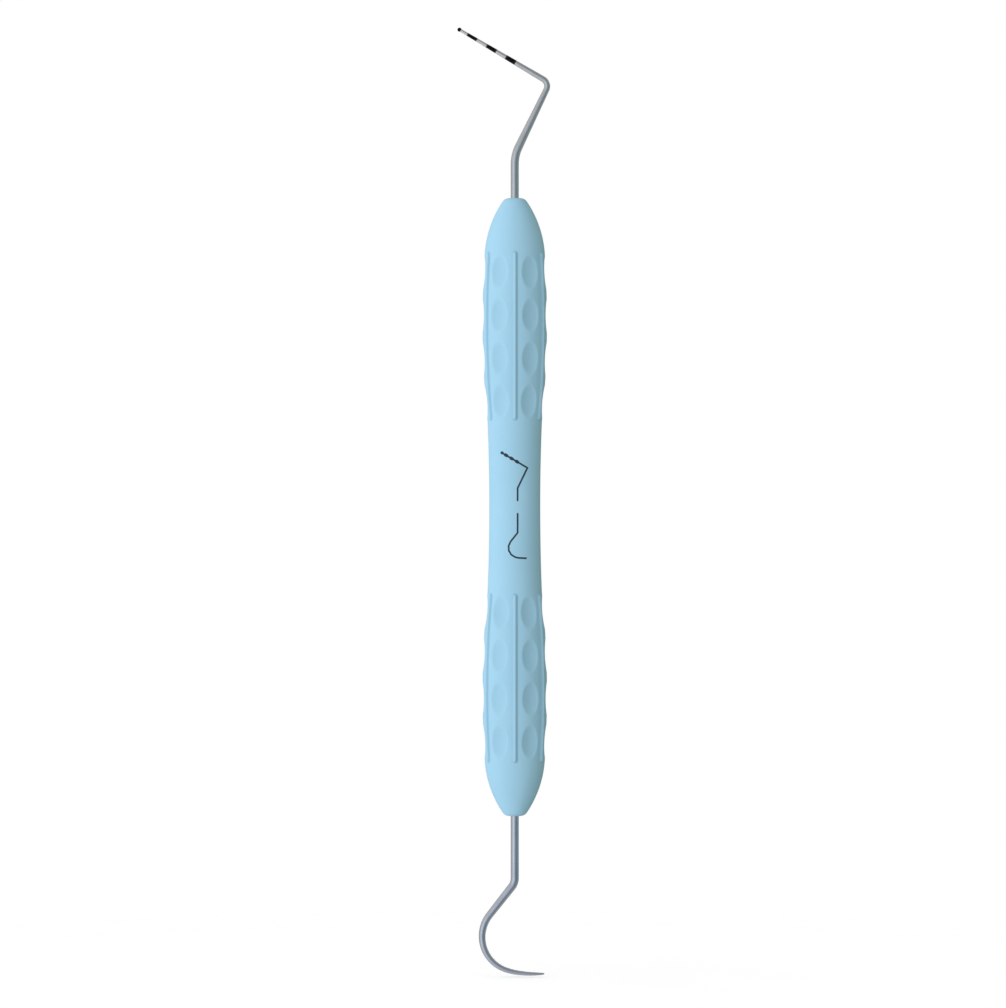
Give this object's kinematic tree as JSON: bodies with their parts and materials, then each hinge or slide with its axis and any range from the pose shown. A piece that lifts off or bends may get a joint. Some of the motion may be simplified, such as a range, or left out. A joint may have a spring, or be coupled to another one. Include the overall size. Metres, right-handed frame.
{
  "type": "periodontal probe",
  "caption": "Double-ended dental hand instrument: banded ball-ended probe and hook explorer on a soft, dimpled and ribbed handle with a slim waist.",
  "frame": {"origin": "middle of the handle's waist, on the handle's axis", "axes": "+Z along the handle's axis towards the probe end; both wires bend in the XZ plane, with the probe's ball and the hook's back on the -X side and the hook's point on the +X side; -Y faces the viewer"},
  "size_m": [0.0165, 0.0122, 0.1693],
  "materials": {
    "silicone": "matte light-blue silicone",
    "core_steel": "turned stainless steel",
    "wire_steel": "satin-polished stainless steel",
    "black_mark": "matte black coating"
  },
  "bodies": {
    "root": {"grip_sleeve": "silicone", "core_tube": "core_steel", "probe_end_plug": "core_steel", "explorer_end_plug": "core_steel", "probe_shank": "wire_steel", "explorer_shank": "wire_steel", "ball_coat": "black_mark", "depth_band_2_4": "black_mark", "depth_band_6_8": "black_mark", "depth_band_10_12": "black_mark"}
  },
  "joints": []
}
